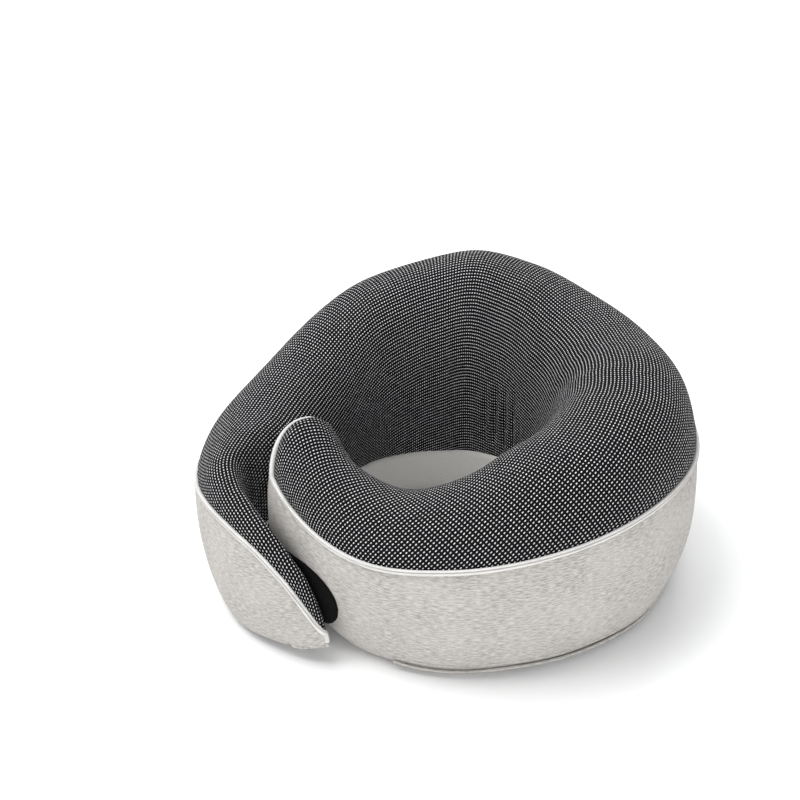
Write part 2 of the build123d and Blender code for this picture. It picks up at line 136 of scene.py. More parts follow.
def place(angle, radius, height):
    """Point in metres at a ring angle, radius and height in millimetres."""
    a = np.radians(angle)
    return np.stack([radius * np.cos(a) * MM + SHIFT[0], radius * np.sin(a) * MM + SHIFT[1],
                     height * MM], -1)


def section(angle, t):
    """Radius and height on the section at a ring angle.

    t runs 0-1 up the outer wall as a quarter ellipse, 1-2 and 2-3 over the crown as quarter
    superellipses, 3-4 down the neck wall as a quarter ellipse and 4-5 outwards under the foot.
    The underside rises by its lift, more near the foot than at the top, and the whole section
    shrinks about its middle by the dome of the nearer tip.
    """
    angle, t = np.broadcast_arrays(np.asarray(angle, float), np.asarray(t, float))
    inner, outer, top, waist = (soft_curve(k, angle) for k in (INNER, OUTER, TOP, WAIST))
    foot_inset, neck_inset = soft_curve(FOOT_INSET, angle), soft_curve(NECK_INSET, angle)
    crest = inner + soft_curve(CREST, angle) * (outer - inner)
    neck_waist = FOOT + 0.45 * (top - FOOT)
    quarter = np.clip(np.floor(t), 0, 4)
    a = (t - quarter) * pi / 2
    s, c = np.clip(np.sin(a), 0, 1), np.clip(np.cos(a), 0, 1)
    p, q = 2 / soft_curve(CREST_POWER, angle), 2 / NECK_POWER
    where = [quarter == k for k in range(5)]
    r = np.select(where, [outer - foot_inset * (1 - s), crest + (outer - crest) * c ** p,
                          crest - (crest - inner) * s ** q, inner + neck_inset * (1 - c),
                          inner + neck_inset + (outer - foot_inset - inner - neck_inset) * (t - 4)])
    z = np.select(where, [waist - (waist - FOOT) * c, waist + (top - waist) * s ** p,
                          neck_waist + (top - neck_waist) * c ** q, neck_waist - (neck_waist - FOOT) * s,
                          FOOT + 0 * t])
    middle = (inner + outer) / 2
    near = np.minimum(dome(np.radians(angle - RIGHT_TIP) * middle, RIGHT_ROUND),
                      dome(np.radians(LEFT_TIP - angle) * middle, LEFT_ROUND))
    middle_z = FOOT + soft_curve(POLE, angle) * (top - FOOT)
    r, z = middle + (r - middle) * near, middle_z + (z - middle_z) * near
    low = np.clip(1 - (z - FOOT) / (top - FOOT), 0, 1)
    return r, z + soft_curve(UNDER_LIFT, angle) * low ** 1.5


def wall(angle, t):
    """Point on the undisturbed surface at a ring angle and section parameter."""
    return place(angle, *section(angle, t))


def outward(angle, t):
    """Unit normal: cross product of the steps along the ring and up the section."""
    angle, t = np.broadcast_arrays(np.asarray(angle, float), np.asarray(t, float))
    a0, a1 = np.clip(angle - 0.3, RIGHT_TIP + 0.05, 239.9), np.clip(angle + 0.3, RIGHT_TIP + 0.1, 239.95)
    t0, t1 = np.clip(t - 0.015, 0, 5), np.clip(t + 0.015, 0, 5)
    inside = np.clip(angle, RIGHT_TIP + 0.07, 239.93)
    cross = np.cross(wall(a1, t) - wall(a0, t), wall(inside, t1) - wall(inside, t0))
    return cross / np.maximum(np.linalg.norm(cross, axis=-1, keepdims=True), 1e-12)


def at_height(angle, height, low, high):
    """Section parameter between low and high where the wall reaches a height, by halving."""
    angle = np.asarray(angle, float)
    low, high = np.full(angle.shape, float(low)), np.full(angle.shape, float(high))
    rising = high <= 2
    for _ in range(32):
        middle = (low + high) / 2
        z = section(angle, middle)[1]
        below = (z < height) == rising
        low, high = np.where(below, middle, low), np.where(below, high, middle)
    return low


def seam_t(angle):
    """Section parameter of the piped seam along the outer wall."""
    return at_height(angle, soft_curve(SEAM, angle), 0, 2)


def hem_t(angle):
    """Section parameter of the hem low on the neck wall."""
    top = soft_curve(TOP, angle)
    neck_waist = FOOT + 0.45 * (top - FOOT)
    share = np.clip((neck_waist - HEM_HEIGHT) / (neck_waist - FOOT), 0.05, 0.9)
    return 3 + np.arcsin(share) * 2 / pi


# ---- Grids that share their border points -----------------------------------------
crowded = np.sin(np.linspace(0, pi / 2, TIP_COLUMNS + 1)[1:])
line = np.concatenate([np.linspace(FIRST_LINE, LEFT_TIP - TIP_REACH, COLUMNS - TIP_COLUMNS),
                       LEFT_TIP - TIP_REACH * (1 - crowded)])
fade = np.clip((FIRST_LINE + TIP_FADE - line) / TIP_FADE, 0, 1) ** 2
split = int(np.argmax(line > SPLIT_ANGLE))


def ring_angles(share):
    """Ring angle of each column at a share of the way from seam to hem: straight columns that
    lean forward near the right tip so that the first one follows the tip's seam."""
    share = np.asarray(share, float)[..., None]
    return line + (soft_curve(TIP_SEAM, share) - FIRST_LINE) * fade


top_angles, hem_angles = ring_angles(0.0), ring_angles(1.0)
top_t, hem_line_t = seam_t(top_angles), hem_t(hem_angles)


def rows_between(angle_low, t_low, angle_high, t_high, count):
    """Grid of angles and parameters, straight between two borders."""
    v = np.linspace(0, 1, count)[:, None]
    return angle_low + (angle_high - angle_low) * v, t_low + (t_high - t_low) * v


v = np.linspace(0, 1, KNIT_ROWS)
knit_grid = ring_angles(v), top_t + (hem_line_t - top_t) * v[:, None]
band_grid = rows_between(hem_angles, hem_line_t, hem_angles, 4.0, BAND_ROWS)
base_grid = rows_between(hem_angles, 4.0, top_angles, 5.0, BASE_ROWS)
zip_open = smoothstep(ZIP_ANGLES[0], ZIP_ANGLES[0] + 2, top_angles) * (
    1 - smoothstep(ZIP_ANGLES[1] - 2, ZIP_ANGLES[1], top_angles))
zip_level = ZIP_HEIGHT + soft_curve(UNDER_LIFT, top_angles) * (np.abs(top_angles - 40) < 140)
low_edge = at_height(top_angles, zip_level - ZIP_GAP * zip_open, 0, 2)
high_edge = at_height(top_angles, zip_level + ZIP_GAP * zip_open, 0, 2)
low_edge, high_edge = np.minimum(low_edge, 0.9 * top_t), np.minimum(high_edge, 0.9 * top_t)
low_grid = rows_between(top_angles, 0.0, top_angles, low_edge, LOW_ROWS)
side_grid = rows_between(top_angles, high_edge, top_angles, top_t, SIDE_ROWS)

rim = [np.concatenate([low_grid[k][:, 0], side_grid[k][1:, 0], knit_grid[k][1:, 0], band_grid[k][1:, 0],
                       base_grid[k][1:, 0]]) for k in range(2)]
depth = 1 - np.cos(np.linspace(0, pi / 2, CAP_ROWS))
cap_grid = (RIGHT_TIP + (rim[0] - RIGHT_TIP) * depth[:, None], np.broadcast_to(rim[1], (CAP_ROWS, len(rim[1]))))

# ---- Lines that the piping and the hem follow --------------------------------------
seam_path = [np.concatenate([knit_grid[k][::-1, 0], knit_grid[k][0, 1:-2]]) for k in range(2)]
seam_points = wall(*seam_path)
hem_points = wall(hem_angles, hem_line_t)


def nearest(points, path):
    """Distance in millimetres from each point to the nearest of a path's points."""
    flat = points.reshape(-1, 3)
    found = np.concatenate([np.sqrt(((part[:, None] - path[None]) ** 2).sum(-1)).min(1)
                            for part in np.array_split(flat, max(1, len(flat) // 4000))])
    return found.reshape(points.shape[:-1]) / MM


def relief(angle, t, points):
    """How far in millimetres the cloth stands off the plain surface: it dips towards the piping
    and the hem as a bell curve, gathers in short puckers beside the piping, folds in upright
    creases in the neck hole right of the nape, and wanders by slow waves elsewhere."""
    height = points[..., 2] / MM
    seam = nearest(points, seam_points)
    dip = -1.1 * np.exp(-(seam / 3.0) ** 2) - 0.5 * np.exp(-(nearest(points, hem_points) / 2.2) ** 2)
    arc = np.radians(angle) * 120
    pucker = 0.22 * np.exp(-((seam - 5) / 5) ** 2) * np.sin(arc / 1.35 + 1.3 * np.sin(arc / 17))
    neck = smoothstep(2.75, 3.0, t) * (1 - smoothstep(3.55, 3.8, t))
    fold_arc = (np.radians(angle) * 58 + 0.05 * (height - 60)) / 6.6
    crease = np.exp(-((fold_arc - np.round(fold_arc)) / 0.2) ** 2)
    folds = -2.2 * neck * np.exp(-((angle - 54) / 13) ** 4) * smoothstep(36, 55, height) * (
        1 - smoothstep(70, 98, height)) * crease
    a = np.radians(angle)
    waves = 0.45 * np.sin(3 * a + 2.1 * t) + 0.35 * np.sin(7 * a - 1.7 * t + 1) + 0.22 * np.sin(
        13 * a + 3.1 * t + 2)
    return dip + pucker + folds + waves * smoothstep(0, 14, seam) * (1 - smoothstep(3.9, 4, t))


def clothed(grid):
    """Points of the finished cloth: the plain surface moved along its normal by the relief."""
    angle, t = grid
    points = wall(angle, t)
    ends = np.minimum(dome(np.radians(angle - RIGHT_TIP) * 88, 14), dome(np.radians(LEFT_TIP - angle) * 124, 20))
    lift = relief(angle, t, points) * ends * MM
    moved = points + outward(angle, t) * lift[..., None]
    moved[..., 2] = np.maximum(moved[..., 2], 0.0004)
    return moved


# ---- Meshes -------------------------------------------------------------------------
def add_mesh(name, points, faces, uv=None):
    """Smooth mesh object at the origin from points, faces and one UV pair per point."""
    mesh = bpy.data.meshes.new(name)
    mesh.from_pydata(points, [], faces)
    if uv is not None:
        layer = mesh.uv_layers.new(name="weave")
        loops = np.empty(len(mesh.loops), int)
        mesh.loops.foreach_get("vertex_index", loops)
        layer.data.foreach_set("uv", np.asarray(uv, np.float32)[loops].ravel())
    mesh.polygons.foreach_set("use_smooth", np.ones(len(mesh.polygons), bool))
    obj = bpy.data.objects.new(name, mesh)
    bpy.context.scene.collection.objects.link(obj)
    return obj


def grid_faces(rows, columns, closed=False):
    """Quads of a grid, with the columns to the right of the rows, optionally joined round."""
    r, c = np.meshgrid(np.arange(rows - 1), np.arange(columns if closed else columns - 1), indexing="ij")
    after = (c + 1) % columns
    return np.stack([r * columns + c, r * columns + after, (r + 1) * columns + after,
                     (r + 1) * columns + c], -1).reshape(-1, 4)


def weld(obj, distance=0.00002):
    """Joins points that coincide, so that seams and poles are closed."""
    work = bmesh.new()
    work.from_mesh(obj.data)
    bmesh.ops.remove_doubles(work, verts=work.verts, dist=distance)
    bmesh.ops.dissolve_degenerate(work, edges=work.edges, dist=1e-7)
    work.to_mesh(obj.data)
    work.free()


def thicken(obj, thickness):
    """Gives a sheet its thickness on the inside."""
    solid = obj.modifiers.new("thickness", "SOLIDIFY")
    solid.thickness, solid.offset, solid.use_rim = thickness * MM, -1, True
    solid.use_even_offset = False


def cloth_piece(name, parts, thickness):
    """One sheet of cloth from several grids given as (points, uv), joined where they meet."""
    points, uvs, faces, start = [], [], [], 0
    for p, uv, flip in parts:
        rows, columns = p.shape[:2]
        quads = grid_faces(rows, columns) + start
        faces.append(quads[:, ::-1] if flip else quads)
        points.append(p.reshape(-1, 3))
        uvs.append(uv.reshape(-1, 2))
        start += rows * columns
    obj = add_mesh(name, np.concatenate(points), np.concatenate(faces).tolist(), np.concatenate(uvs))
    weld(obj)
    thicken(obj, thickness)
    return obj


def tube(name, points, radius, turns, sides=14):
    """Round cord swept along a path, its ends rounded off. turns holds the way that each
    section's first side faces, which is made square to the path."""
    ahead = np.gradient(points, axis=0)
    ahead /= np.linalg.norm(ahead, axis=1, keepdims=True)
    side = np.empty_like(points)
    side[0] = turns[0]
    for k in range(1, len(points)):
        side[k] = turns[k]
        side[k] -= ahead[k] * (side[k] @ ahead[k])
        side[k] /= np.linalg.norm(side[k])
    side[0] -= ahead[0] * (side[0] @ ahead[0])
    side[0] /= np.linalg.norm(side[0])
    up = np.cross(ahead, side)
    a = np.linspace(0, 2 * pi, sides, endpoint=False)
    end = radius * MM * np.sin(np.linspace(0, pi / 2, 5))[:4]
    back = radius * MM * np.cos(np.linspace(0, pi / 2, 5))[:4]
    size = np.concatenate([end, np.full(len(points), radius * MM), end[::-1]])
    spine = np.concatenate([points[:1] - ahead[:1] * back[:, None], points,
                            points[-1:] + ahead[-1:] * back[::-1, None]])
    side = np.concatenate([side[:1].repeat(4, 0), side, side[-1:].repeat(4, 0)])
    up = np.concatenate([up[:1].repeat(4, 0), up, up[-1:].repeat(4, 0)])
    ring = (np.cos(a)[None, :, None] * side[:, None] + np.sin(a)[None, :, None] * up[:, None])
    body = spine[:, None] + ring * size[:, None, None]
    along = np.concatenate([[0], np.cumsum(np.linalg.norm(np.diff(spine, axis=0), axis=1))])
    uv = np.stack(np.broadcast_arrays(along[:, None], a[None] * radius * MM), -1)
    faces = grid_faces(len(spine), sides, closed=True)[:, ::-1]
    obj = add_mesh(name, body.reshape(-1, 3), faces.tolist(), uv.reshape(-1, 2))
    weld(obj, 1e-6)
    return obj


def arc_uv(points):
    """Cloth coordinates in metres: length along the ring by length up the section."""
    along = np.linalg.norm(np.diff(points, axis=1), axis=-1).mean(0)
    across = np.concatenate([np.zeros((1, points.shape[1])),
                             np.cumsum(np.linalg.norm(np.diff(points, axis=0), axis=-1), 0)])
    u = np.concatenate([[0], np.cumsum(along)])
    return np.stack(np.broadcast_arrays(u[None], across), -1)


def knit_uv(points, t):
    """Cloth coordinates of the knit in metres. The crest line is laid flat as a curve whose
    heading is ROW_TURN, and each section lies square to it by its own length, so the rows of dots
    run round the nape and askew at the front."""
    across = np.concatenate([np.zeros((1, points.shape[1])),
                             np.cumsum(np.linalg.norm(np.diff(points, axis=0), axis=-1), 0)])
    crest = np.array([np.interp(2.0, t[:, k], across[:, k]) for k in range(t.shape[1])])
    ring = wall(line, 2.0)
    step = np.linalg.norm(np.diff(ring, axis=0), axis=1)
    heading = np.radians(soft_curve(ROW_TURN, line))
    ahead = np.stack([np.cos(heading), np.sin(heading)], -1)
    left = np.stack([-np.sin(heading), np.cos(heading)], -1)
    flat = np.concatenate([np.zeros((1, 2)), np.cumsum((ahead[1:] + ahead[:-1]) / 2 * step[:, None], 0)])
    return flat[None] + left[None] * (across - crest)[..., None]


# ---- Materials ----------------------------------------------------------------------
def node(tree, kind, wires=None, **settings):
    """Adds a node, sets it, and connects or sets its inputs."""
    made = tree.nodes.new(kind)
    for key, value in settings.items():
        setattr(made, key, value)
    for key, value in (wires or {}).items():
        if isinstance(value, bpy.types.NodeSocket):
            tree.links.new(value, made.inputs[key])
        else:
            made.inputs[key].default_value = value
    return made


def maths(tree, operation, a, b=0.0, c=0.0, clamp=False):
    """Output of one arithmetic node."""
    return node(tree, "ShaderNodeMath", {0: a, 1: b, 2: c}, operation=operation, use_clamp=clamp).outputs[0]


def mixed(tree, share, a, b):
    """Output of one colour mix."""
    return node(tree, "ShaderNodeMix", {0: share, 6: a, 7: b}, data_type="RGBA").outputs[2]


def ranged(tree, value, low, high, to_low=0.0, to_high=1.0):
    """Value carried smoothly from one range to another."""
    return node(tree, "ShaderNodeMapRange", {0: value, 1: low, 2: high, 3: to_low, 4: to_high},
                interpolation_type="SMOOTHSTEP").outputs[0]


def noise(tree, vector, scale, detail=3.0, rough=0.55):
    """Grey value of a noise texture."""
    return node(tree, "ShaderNodeTexNoise", {"Vector": vector, "Scale": scale, "Detail": detail,
                                             "Roughness": rough}).outputs[0]


def colour(red, green, blue):
    """Scene colour of an sRGB triple from 0 to 255."""
    c = np.array([red, green, blue]) / 255
    c = np.where(c > 0.04045, ((c + 0.055) / 1.055) ** 2.4, c / 12.92)
    return (float(c[0]), float(c[1]), float(c[2]), 1.0)


def new_group(name, inputs, outputs):
    """Shader node group with its sockets and its two end nodes."""
    group = bpy.data.node_groups.new(name, "ShaderNodeTree")
    for label, kind in inputs:
        group.interface.new_socket(label, in_out="INPUT", socket_type=kind)
    for label, kind in outputs:
        group.interface.new_socket(label, in_out="OUTPUT", socket_type=kind)
    return group, group.nodes.new("NodeGroupInput"), group.nodes.new("NodeGroupOutput")


def build_stitches():
    """Group: small looped stitches of a given pitch, and slubs drawn out along the rows."""
    group, given, result = new_group(
        "stitches", [("Cloth", "NodeSocketVector"), ("Pitch", "NodeSocketFloat")],
        [("Loops", "NodeSocketFloat"), ("Slubs", "NodeSocketFloat"), ("Fuzz", "NodeSocketFloat")])
    parts = node(group, "ShaderNodeSeparateXYZ", {0: given.outputs["Cloth"]})
    turns = maths(group, "DIVIDE", 2 * pi, given.outputs["Pitch"])
    across = maths(group, "MULTIPLY", parts.outputs[0], turns)
    up = maths(group, "MULTIPLY", parts.outputs[1], turns)
    lean = maths(group, "MULTIPLY", maths(group, "SINE", across), 1.1)
    loops = maths(group, "SINE", maths(group, "ADD", up, lean))
    ribs = maths(group, "COSINE", across)
    both = maths(group, "ADD", maths(group, "MULTIPLY", loops, 0.6), maths(group, "MULTIPLY", ribs, 0.4))
    group.links.new(both, result.inputs["Loops"])
    drawn = node(group, "ShaderNodeMapping", {"Vector": given.outputs["Cloth"], "Scale": (0.26, 1.7, 1)})
    slubs = noise(group, drawn.outputs[0], 900.0, 4.0, 0.66)
    group.links.new(slubs, result.inputs["Slubs"])
    fuzz = noise(group, given.outputs["Cloth"], 2600.0, 3.0, 0.7)
    group.links.new(fuzz, result.inputs["Fuzz"])
    return group


STITCHES = build_stitches()


def finish_material(name, metallic=0.0, sheen=0.0, coat=0.0, specular=0.5):
    """New material with its shader, whose colour, roughness and normal are still to be fed."""
    material = bpy.data.materials.new(name)
    material.use_nodes = True
    tree = material.node_tree
    tree.nodes.clear()
    shader = node(tree, "ShaderNodeBsdfPrincipled", {"Metallic": metallic, "Sheen Weight": sheen,
                                                     "Sheen Roughness": 0.4, "Coat Weight": coat,
                                                     "Specular IOR Level": specular})
    node(tree, "ShaderNodeOutputMaterial", {"Surface": shader.outputs[0]})
    return material, tree, shader


def cloth_coords(tree):
    """The piece's own cloth coordinates."""
    return node(tree, "ShaderNodeUVMap", uv_map="weave").outputs[0]


def bump(tree, shader, height, depth, strength=1.0):
    """Feeds a height in units of depth metres to the shader's normal."""
    made = node(tree, "ShaderNodeBump", {"Strength": strength, "Distance": depth, "Height": height})
    tree.links.new(made.outputs[0], shader.inputs["Normal"])


def stitched(tree, cloth, pitch):
    """The stitches group placed in a material."""
    made = node(tree, "ShaderNodeGroup", node_tree=STITCHES)
    tree.links.new(cloth, made.inputs["Cloth"])
    made.inputs["Pitch"].default_value = pitch
    return made.outputs


def jersey_material(name, light, dark, pitch, slub_share, depth):
    """Melange jersey: two greys mixed by drawn-out slubs, with fine loops and fuzz."""
    material, tree, shader = finish_material(name, sheen=0.1, specular=0.2)
    cloth = cloth_coords(tree)
    grain = stitched(tree, cloth, pitch)
    slubs = ranged(tree, grain["Slubs"], 0.38, 0.62)
    patchy = ranged(tree, noise(tree, cloth, 38.0, 2.0), 0.3, 0.7, 0.75, 1.15)
    share = maths(tree, "MULTIPLY", maths(tree, "MULTIPLY", slubs, slub_share), patchy, clamp=True)
    tone = mixed(tree, share, light, dark)
    fibre = ranged(tree, grain["Fuzz"], 0.3, 0.7, 0.0, 0.16)
    tone = mixed(tree, fibre, tone, (0.2, 0.195, 0.19, 1))
    tree.links.new(tone, shader.inputs["Base Color"])
    tree.links.new(ranged(tree, grain["Slubs"], 0.3, 0.7, 0.95, 0.82), shader.inputs["Roughness"])
    height = maths(tree, "ADD", maths(tree, "MULTIPLY", grain["Loops"], 0.35),
                   maths(tree, "ADD", maths(tree, "MULTIPLY", grain["Fuzz"], 0.9),
                         maths(tree, "MULTIPLY", grain["Slubs"], 0.9)))
    bump(tree, shader, height, depth)
    return material


DOT_PITCH = 0.0020


def dot_knit_material():
    """Black spacer knit with a square lattice of raised pale stitches, each a little long along
    its row, and small pits between them."""
    material, tree, shader = finish_material("dot_knit", specular=0.1)
    cloth = cloth_coords(tree)
    pitch = DOT_PITCH
    wander = noise(tree, cloth, 160.0, 2.0)
    moved = node(tree, "ShaderNodeVectorMath", {0: cloth, 1: (1 / pitch, 1 / pitch, 0)}, operation="MULTIPLY")
    parts = node(tree, "ShaderNodeSeparateXYZ", {0: moved.outputs[0]})
    swing = maths(tree, "MULTIPLY", maths(tree, "SUBTRACT", wander, 0.5), 0.35)
    x = maths(tree, "FRACT", maths(tree, "ADD", parts.outputs[0], swing))
    y = maths(tree, "FRACT", maths(tree, "ADD", parts.outputs[1], swing))
    dx = maths(tree, "ABSOLUTE", maths(tree, "SUBTRACT", x, 0.5))
    dy = maths(tree, "ABSOLUTE", maths(tree, "SUBTRACT", y, 0.5))
    reach = maths(tree, "ADD", maths(tree, "POWER", maths(tree, "DIVIDE", dx, 0.26), 2.6),
                  maths(tree, "POWER", maths(tree, "DIVIDE", dy, 0.16), 2.6))
    dot = ranged(tree, reach, 1.5, 0.5)
    cell = node(tree, "ShaderNodeVectorMath", {0: moved.outputs[0]}, operation="FLOOR")
    own = node(tree, "ShaderNodeTexWhiteNoise", {"Vector": cell.outputs[0]}, noise_dimensions="3D").outputs[0]
    fine = noise(tree, cloth, 3200.0, 2.0)
    pale = mixed(tree, own, colour(200, 199, 202), colour(238, 237, 238))
    dark = mixed(tree, fine, colour(3, 3, 4), colour(16, 16, 18))
    tree.links.new(mixed(tree, dot, dark, pale), shader.inputs["Base Color"])
    tree.links.new(maths(tree, "ADD", maths(tree, "MULTIPLY", fine, 0.15), 0.72), shader.inputs["Roughness"])
    pit = ranged(tree, reach, 3.0, 9.0, 0.45, 0.0)
    height = maths(tree, "ADD", maths(tree, "ADD", dot, pit), maths(tree, "MULTIPLY", fine, 0.3))
    bump(tree, shader, height, 0.00035)
    return material


THREAD_PITCH = 0.0007


def piping_material():
    """Off-white woven tape over a cord: fine threads across and a soft twill along it."""
    material, tree, shader = finish_material("piping", sheen=0.2, specular=0.3)
    cloth = cloth_coords(tree)
    parts = node(tree, "ShaderNodeSeparateXYZ", {0: cloth})
    slant = maths(tree, "ADD", parts.outputs[0], maths(tree, "MULTIPLY", parts.outputs[1], 0.6))
    threads = maths(tree, "SINE", maths(tree, "MULTIPLY", slant, 2 * pi / THREAD_PITCH))
    fuzz = noise(tree, cloth, 1800.0, 3.0)
    soil = ranged(tree, noise(tree, cloth, 60.0, 3.0), 0.35, 0.75)
    tone = mixed(tree, soil, colour(247, 245, 242), colour(232, 229, 225))
    tone = mixed(tree, ranged(tree, threads, -1.0, 0.2, 0.3, 0.0), tone, colour(196, 193, 189))
    tree.links.new(tone, shader.inputs["Base Color"])
    tree.links.new(ranged(tree, fuzz, 0.3, 0.7, 0.6, 0.8), shader.inputs["Roughness"])
    bump(tree, shader, maths(tree, "ADD", threads, fuzz), 0.00012)
    return material


def pile_material(name, tone, tuft_highlight, scale, depth):
    """Dense loops or hooks: a crowd of small cells whose tufts carry a painted highlight over the dark tone, so that
    they are darker between them.
    """
    material, tree, shader = finish_material(name, sheen=0.02, specular=0.1)
    where = node(tree, "ShaderNodeTexCoord").outputs["Object"]
    cells = node(tree, "ShaderNodeTexVoronoi", {"Vector": where, "Scale": scale}).outputs["Distance"]
    tuft = ranged(tree, cells, 0.1, 0.6, 1.0, 0.0)
    fuzz = noise(tree, where, scale * 2.3, 3.0)
    share = maths(tree, "MULTIPLY", tuft, fuzz, clamp=True)
    # painted highlight: each tuft's colour is mixed towards the lighter second colour, leaving painted shade between
    # the tufts
    tree.links.new(mixed(tree, share, tone, tuft_highlight), shader.inputs["Base Color"])
    tree.links.new(ranged(tree, fuzz, 0.3, 0.7, 0.7, 0.95), shader.inputs["Roughness"])
    bump(tree, shader, maths(tree, "ADD", tuft, fuzz), depth)
    return material


def zip_material(name, tone, pitch, rough, metallic, depth):
    """Nylon zip parts: ribs about the zip's own centre, with painted shade in the troughs between them as a darker
    copy of the tone, and slight wear.
    """
    material, tree, shader = finish_material(name, metallic=metallic, specular=0.5)
    where = node(tree, "ShaderNodeTexCoord").outputs["Object"]
    centred = node(tree, "ShaderNodeMapping", {"Vector": where, "Location": (-ZIP_CENTRE[0], -ZIP_CENTRE[1], 0)})
    parts = node(tree, "ShaderNodeSeparateXYZ", {0: centred.outputs[0]})
    bearing = maths(tree, "ARCTAN2", parts.outputs[1], parts.outputs[0])
    ribs = maths(tree, "SINE", maths(tree, "MULTIPLY", bearing, 2 * pi * ZIP_RADIUS / pitch))
    wear = noise(tree, where, 900.0, 4.0)
    # painted shade: the rib troughs take the tone darkened to 45 per cent, and random wear lightens it back towards
    # the tone
    rib_trough_shade = (tone[0] * 0.45, tone[1] * 0.45, tone[2] * 0.45, 1)
    share = maths(tree, "ADD", maths(tree, "MULTIPLY", ranged(tree, ribs, -1.0, 0.6), 0.75),
                  maths(tree, "MULTIPLY", wear, 0.4), clamp=True)
    tree.links.new(mixed(tree, share, rib_trough_shade, tone), shader.inputs["Base Color"])
    tree.links.new(ranged(tree, wear, 0.3, 0.7, rough - 0.1, rough + 0.1), shader.inputs["Roughness"])
    bump(tree, shader, maths(tree, "ADD", ribs, maths(tree, "MULTIPLY", wear, 0.3)), depth)
    return material


def enamel_material():
    """Grey enamelled die-cast metal with small dents and worn edges."""
    material, tree, shader = finish_material("zip_metal", specular=0.6, coat=0.3)
    where = node(tree, "ShaderNodeTexCoord").outputs["Object"]
    wear = noise(tree, where, 1400.0, 4.0)
    edge = node(tree, "ShaderNodeNewGeometry").outputs["Pointiness"]
    rubbed = ranged(tree, maths(tree, "ADD", edge, maths(tree, "MULTIPLY", wear, 0.08)), 0.52, 0.62)
    tree.links.new(mixed(tree, rubbed, colour(120, 119, 118), colour(178, 176, 172)), shader.inputs["Base Color"])
    tree.links.new(rubbed, shader.inputs["Metallic"])
    tree.links.new(ranged(tree, wear, 0.3, 0.7, 0.28, 0.42), shader.inputs["Roughness"])
    bump(tree, shader, wear, 0.00005)
    return material


MATERIALS = {
    "jersey": jersey_material("jersey", colour(207, 203, 198), colour(148, 145, 141), 0.0009, 0.78, 0.00022),
    "smooth_jersey": jersey_material("smooth_jersey", colour(226, 224, 220), colour(210, 208, 205), 0.0007, 0.4,
                                     0.0001),
    "base_cloth": jersey_material("base_cloth", colour(186, 184, 181), colour(150, 148, 146), 0.0011, 0.5, 0.0002),
    "dot_knit": dot_knit_material(),
    "piping": piping_material(),
    # the second colour of each pile is a painted highlight on its tufts
    "loop_pile": pile_material("loop_pile", colour(4, 4, 5), colour(22, 22, 24), 1500.0, 0.0004),
    "hook_tape": pile_material("hook_tape", colour(12, 12, 13), colour(52, 52, 55), 900.0, 0.0003),
    "zip_tape": zip_material("zip_tape", colour(150, 148, 146), 0.0008, 0.8, 0.0, 0.0001),
    "zip_coil": zip_material("zip_coil", colour(138, 137, 136), 0.0013, 0.45, 0.0, 0.0004),
    "zip_metal": enamel_material(),
}


def dress(obj, slot, body=None, replaced=()):
    """Gives a piece the material named by its slot and its body, and hides the CAD nodes that it stands for; a piece
    without a body has its placement baked into its points.
    """
    obj.data.materials.clear()
    obj.data.materials.append(MATERIALS[slot])
    if replaced:
        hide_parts(*replaced)
    if body:
        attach(obj, body)
    else:
        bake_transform(obj)
    return obj


# ---- Cover panels --------------------------------------------------------------------
knit, band, base, side, low, cap = (clothed(g) for g in (knit_grid, band_grid, base_grid, side_grid,
                                                         low_grid, cap_grid))
knit_cloth = knit_uv(knit, knit_grid[1])
side_cloth, low_cloth, cap_cloth = arc_uv(side), arc_uv(low), arc_uv(cap)
side_cloth[..., 1] += low_cloth[-1:, :, 1]
band_cloth, base_cloth = arc_uv(band), arc_uv(base)
right_part, left_part = slice(0, split + 1), slice(split, COLUMNS)

knit_right = cloth_piece("knit_cover_right", [(knit[:, right_part], knit_cloth[:, right_part], False)], KNIT_THICK)
knit_left = cloth_piece("knit_cover_left", [(knit[:, left_part], knit_cloth[:, left_part], False)], KNIT_THICK)
jersey_right = cloth_piece("jersey_side_right", [(low[:, right_part], low_cloth[:, right_part], False),
                                                 (side[:, right_part], side_cloth[:, right_part], False),
                                                 (cap, cap_cloth, True)], JERSEY_THICK)
jersey_left = cloth_piece("jersey_side_left", [(low[:, left_part], low_cloth[:, left_part], False),
                                               (side[:, left_part], side_cloth[:, left_part], False)], JERSEY_THICK)
band_right = cloth_piece("neck_band_right", [(band[:, right_part], band_cloth[:, right_part], False)], BAND_THICK)
band_left = cloth_piece("neck_band_left", [(band[:, left_part], band_cloth[:, left_part], False)], BAND_THICK)
base_right = cloth_piece("base_cloth_right", [(base[:, right_part], base_cloth[:, right_part], False)], BASE_THICK)
base_left = cloth_piece("base_cloth_left", [(base[:, left_part], base_cloth[:, left_part], False)], BASE_THICK)

dress(knit_right, "dot_knit", "right_half", ("knit_panel_right", "foam_core_right"))
dress(knit_left, "dot_knit", None, ("knit_panel_left", "foam_core_left"))
dress(jersey_right, "jersey", "right_half", ("jersey_panel_right", "end_panel_right"))
dress(jersey_left, "jersey", None, ("jersey_panel_left", "end_panel_left"))
dress(band_right, "smooth_jersey", "right_half", ("foot_band_right",))
dress(band_left, "smooth_jersey", None, ("foot_band_left",))
dress(base_right, "base_cloth", "right_half", ("base_panel_right",))
dress(base_left, "base_cloth", None, ("base_panel_left",))

